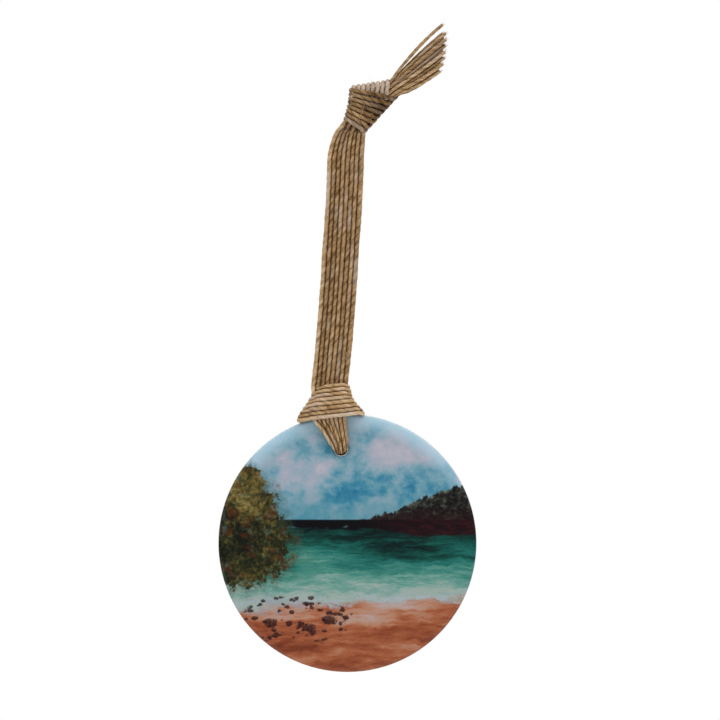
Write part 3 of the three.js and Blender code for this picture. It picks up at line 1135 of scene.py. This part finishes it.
    def rocks(self, below):
        """Stones where random cells have their middles close to the picture, large and small."""
        s = self.s
        for seat, size, oval in ((41.3, 6.4, (-13, -22.5, 13, 5)), (45.1, 2.9, (-15, -22.5, 17, 7.5))):
            at = s.vector(s.mul(self.true_x, 1 / size), seat, s.mul(self.true_z, 1.5 / size))
            distance, middle = s.cells(at)
            height = s.sub(s.parts(at)[2], s.parts(middle)[2])
            ragged = s.add(distance, s.mul(self.wash(23.0, 1.1), 0.55))
            mask = s.mul(s.rise(ragged, 0.38, 0.28), s.rise(self.patch(*oval), 0.15, 0.35))
            face = s.add(s.mul(height, 0.9), s.add(0.3, s.mul(self.wash(24.0, 1.3), 1.5)))
            stone = s.ramp(face, (
                (0.1, linear(30, 12, 14)),
                (0.45, linear(62, 32, 30)),
                (0.85, linear(122, 90, 84)),
            ))
            below = s.mix(s.mul(mask, 0.9), below, stone)
        return below

    def bush(self, below):
        s = self.s
        field = None
        for x, z, half_width, half_height in ((-32, -2, 17, 12), (-30, 9, 11, 10), (-31, 16.5, 7, 7)):
            dx = s.mul(s.sub(self.x, x), 1 / half_width)
            dz = s.mul(s.sub(self.z, z), 1 / half_height)
            oval = s.inverse(s.add(s.mul(dx, dx), s.mul(dz, dz)))
            field = oval if field is None else s.either(field, oval)
        feather = s.mul(self.wash(25.0, 0.32, 1.0, 3), 1.5)
        feather = s.add(feather, s.mul(self.wash(26.0, 1.2, 1.0, 4, 0.75), 1.4))
        edge = s.add(field, feather)
        tone = s.add(0.38, s.mul(self.wash(27.0, 0.2, 1.0, 3), 1.0))
        tone = s.add(tone, s.mul(self.wash(28.0, 0.75, 1.0, 5, 0.7), 1.6))
        tone = self.tune(tone, (0.16, -29, 15, 8, 8), (-0.1, -31, -4, 8, 8))
        leaves = s.ramp(tone, (
            (0.14, linear(18, 22, 14)),
            (0.36, linear(42, 44, 24)),
            (0.52, linear(74, 68, 34)),
            (0.68, linear(108, 92, 46)),
            (0.86, linear(138, 128, 84)),
        ))
        warm = s.rise(self.wash(29.0, 0.3, 1.0, 3), 0.02, 0.2)
        leaves = s.mix(s.mul(warm, 0.5), leaves, linear(92, 44, 22))
        cool = s.rise(self.wash(30.0, 0.4, 1.0, 3), 0.06, 0.2)
        leaves = s.mix(s.mul(cool, 0.4), leaves, linear(80, 104, 92))
        shadow = s.mul(s.rise(edge, -0.5, 0.1), 0.35)
        below = s.mix(shadow, below, linear(60, 78, 56))
        return s.mix(s.rise(edge, 0.0, 0.3), below, leaves)

    def paint(self):
        s = self.s
        colour = self.headland(self.sky())
        colour = self.beach(self.far_shore(self.sea(colour)))
        colour = self.bush(self.rocks(colour))
        bright = s.add(1.0, s.mul(self.grain, 0.3))
        return s.mix(1.0, colour, s.vector(bright, bright, bright), blend="MULTIPLY")


def add_disc():
    disc = closed_rings("glazed_disc", ceramic_rings(), ceramic_material())
    picture = closed_rings("printed_picture", print_rings(), picture_material())
    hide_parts("ceramic_disc")
    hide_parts("printed_face")
    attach(disc, "disc")
    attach(picture, "disc")


add_disc()


# ---------- floor and light ----------

WORLD_HORIZON, WORLD_ZENITH = 0.24, 1.35
KEY_POWER, FILL_POWER = 3.4, 1.5
KEY_FROM, FILL_FROM = (0.55, -0.8, 0.9), (-0.8, -0.7, 0.4)  # from the ornament's middle, m
FLOOR_DROP, FLOOR_REACH = 0.09, 0.8  # under the disc and to each side, m


def add_light(name, where, size, power, aim):
    lamp = bpy.data.lights.new(name, "AREA")
    lamp.size, lamp.energy = size, power
    holder = add_object(name, lamp)
    holder.location = where
    holder.rotation_euler = (Vector(aim) - Vector(where)).to_track_quat("-Z", "Y").to_euler()
    holder.visible_camera = False


def paint_world():
    """White to look at; as a light it is bright overhead and dim near the horizon, like a soft box."""
    world = bpy.data.worlds.new("studio")
    world.use_nodes = True
    nodes, links = world.node_tree.nodes, world.node_tree.links
    lit = nodes["Background"]
    parts = nodes.new("ShaderNodeSeparateXYZ")
    links.new(nodes.new("ShaderNodeTexCoord").outputs["Generated"], parts.inputs[0])
    height = nodes.new("ShaderNodeMapRange")
    for socket, value in zip(height.inputs[1:5], (-0.1, 1.0, WORLD_HORIZON, WORLD_ZENITH)):
        socket.default_value = value
    links.new(parts.outputs["Z"], height.inputs[0])
    links.new(height.outputs[0], lit.inputs["Strength"])
    seen = nodes.new("ShaderNodeBackground")
    seen.inputs["Strength"].default_value = 1.0
    for background in (lit, seen):
        background.inputs["Color"].default_value = (1, 1, 1, 1)
    pick = nodes.new("ShaderNodeMixShader")
    links.new(nodes.new("ShaderNodeLightPath").outputs["Is Camera Ray"], pick.inputs[0])
    links.new(lit.outputs[0], pick.inputs[1])
    links.new(seen.outputs[0], pick.inputs[2])
    links.new(pick.outputs[0], nodes["World Output"].inputs[0])
    bpy.context.scene.world = world


def add_studio():
    bpy.context.scene.view_settings.view_transform = "Standard"
    paint_world()
    aim = Vector(place([0, 0, 60]))
    add_light("key", aim + Vector(KEY_FROM), 0.5, KEY_POWER, aim)
    add_light("fill", aim + Vector(FILL_FROM), 0.7, FILL_POWER, aim)
    low = CENTRE.z - DISC_RADIUS * MM - FLOOR_DROP
    corners = [(x * FLOOR_REACH, y * FLOOR_REACH, low) for x, y in ((-1, -1), (1, -1), (1, 1), (-1, 1))]
    floor_mesh = bpy.data.meshes.new("floor")
    floor_mesh.from_pydata(corners, [], [(0, 1, 2, 3)])
    paint = Shader("floor_paint")
    paint.surface.inputs["Base Color"].default_value = (0.96, 0.96, 0.96, 1)
    paint.surface.inputs["Roughness"].default_value = 0.95
    paint.surface.inputs["Specular IOR Level"].default_value = 0.1
    floor_mesh.materials.append(paint.material)
    floor = add_object("floor", floor_mesh)


add_studio()
